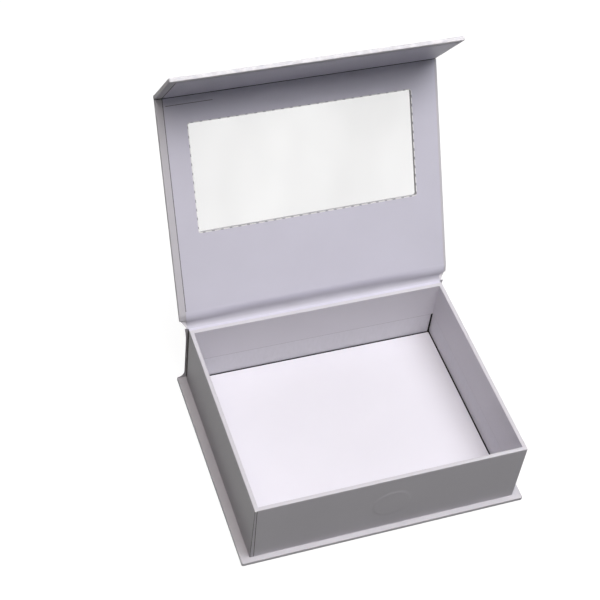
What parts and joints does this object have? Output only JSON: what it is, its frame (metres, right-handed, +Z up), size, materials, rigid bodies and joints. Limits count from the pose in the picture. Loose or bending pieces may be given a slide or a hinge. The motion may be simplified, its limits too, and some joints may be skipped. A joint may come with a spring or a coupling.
{
  "type": "magnetic gift box",
  "caption": "Book-style rigid jewelry gift box: wrapped board tray in a wrapped case with a windowed hinged lid and a magnetic front flap, shown open.",
  "frame": {"origin": "centre of the base's underside, on the surface it stands on", "axes": "+Z up, +X to the right along the hinge, +Y back from the open front towards the hinge"},
  "size_m": [0.16, 0.1921, 0.1903],
  "materials": {
    "wrap_paper": "satin pearl",
    "liner_paper": "satin",
    "greyboard": "matte",
    "floor_card": "satin pearl",
    "stay_tape": "matte",
    "clear_film": "clear",
    "nickel_magnet": "plated"
  },
  "bodies": {
    "tray": {"base_board": "greyboard", "base_wrap": "wrap_paper", "spine_board": "greyboard", "spine_wrap": "wrap_paper", "spine_liner": "liner_paper", "front_wall_board": "greyboard", "rear_wall_board": "greyboard", "left_wall_board": "greyboard", "right_wall_board": "greyboard", "tray_floor_board": "greyboard", "tray_wrap": "wrap_paper", "corner_stay_front_left": "stay_tape", "corner_stay_front_right": "stay_tape", "corner_stay_rear_left": "stay_tape", "corner_stay_rear_right": "stay_tape", "floor_card": "floor_card", "wall_magnet": "nickel_magnet"},
    "lid": {"lid_board": "greyboard", "lid_wrap": "wrap_paper", "lid_liner": "liner_paper", "window_film": "clear_film", "lid_hinge_wrap": "wrap_paper", "lid_hinge_liner": "liner_paper"},
    "flap": {"flap_board": "greyboard", "flap_wrap": "wrap_paper", "flap_liner": "liner_paper", "flap_magnet": "nickel_magnet", "flap_hinge_wrap": "wrap_paper", "flap_hinge_liner": "liner_paper"}
  },
  "joints": [
    {"name": "lid_hinge", "type": "hinge", "parent": "tray", "child": "lid", "pos_m": [0, 0.0645, 0.04585], "axis": [-1, 0, 0], "range_deg": [-119.6, 60.4], "deforming": ["lid_hinge_wrap", "lid_hinge_liner"]},
    {"name": "flap_hinge", "type": "hinge", "parent": "lid", "child": "flap", "pos_m": [0, 0.12592, 0.1557], "axis": [-1, 0, 0], "range_deg": [-21.7, 68.3], "deforming": ["flap_hinge_wrap", "flap_hinge_liner"]}
  ]
}
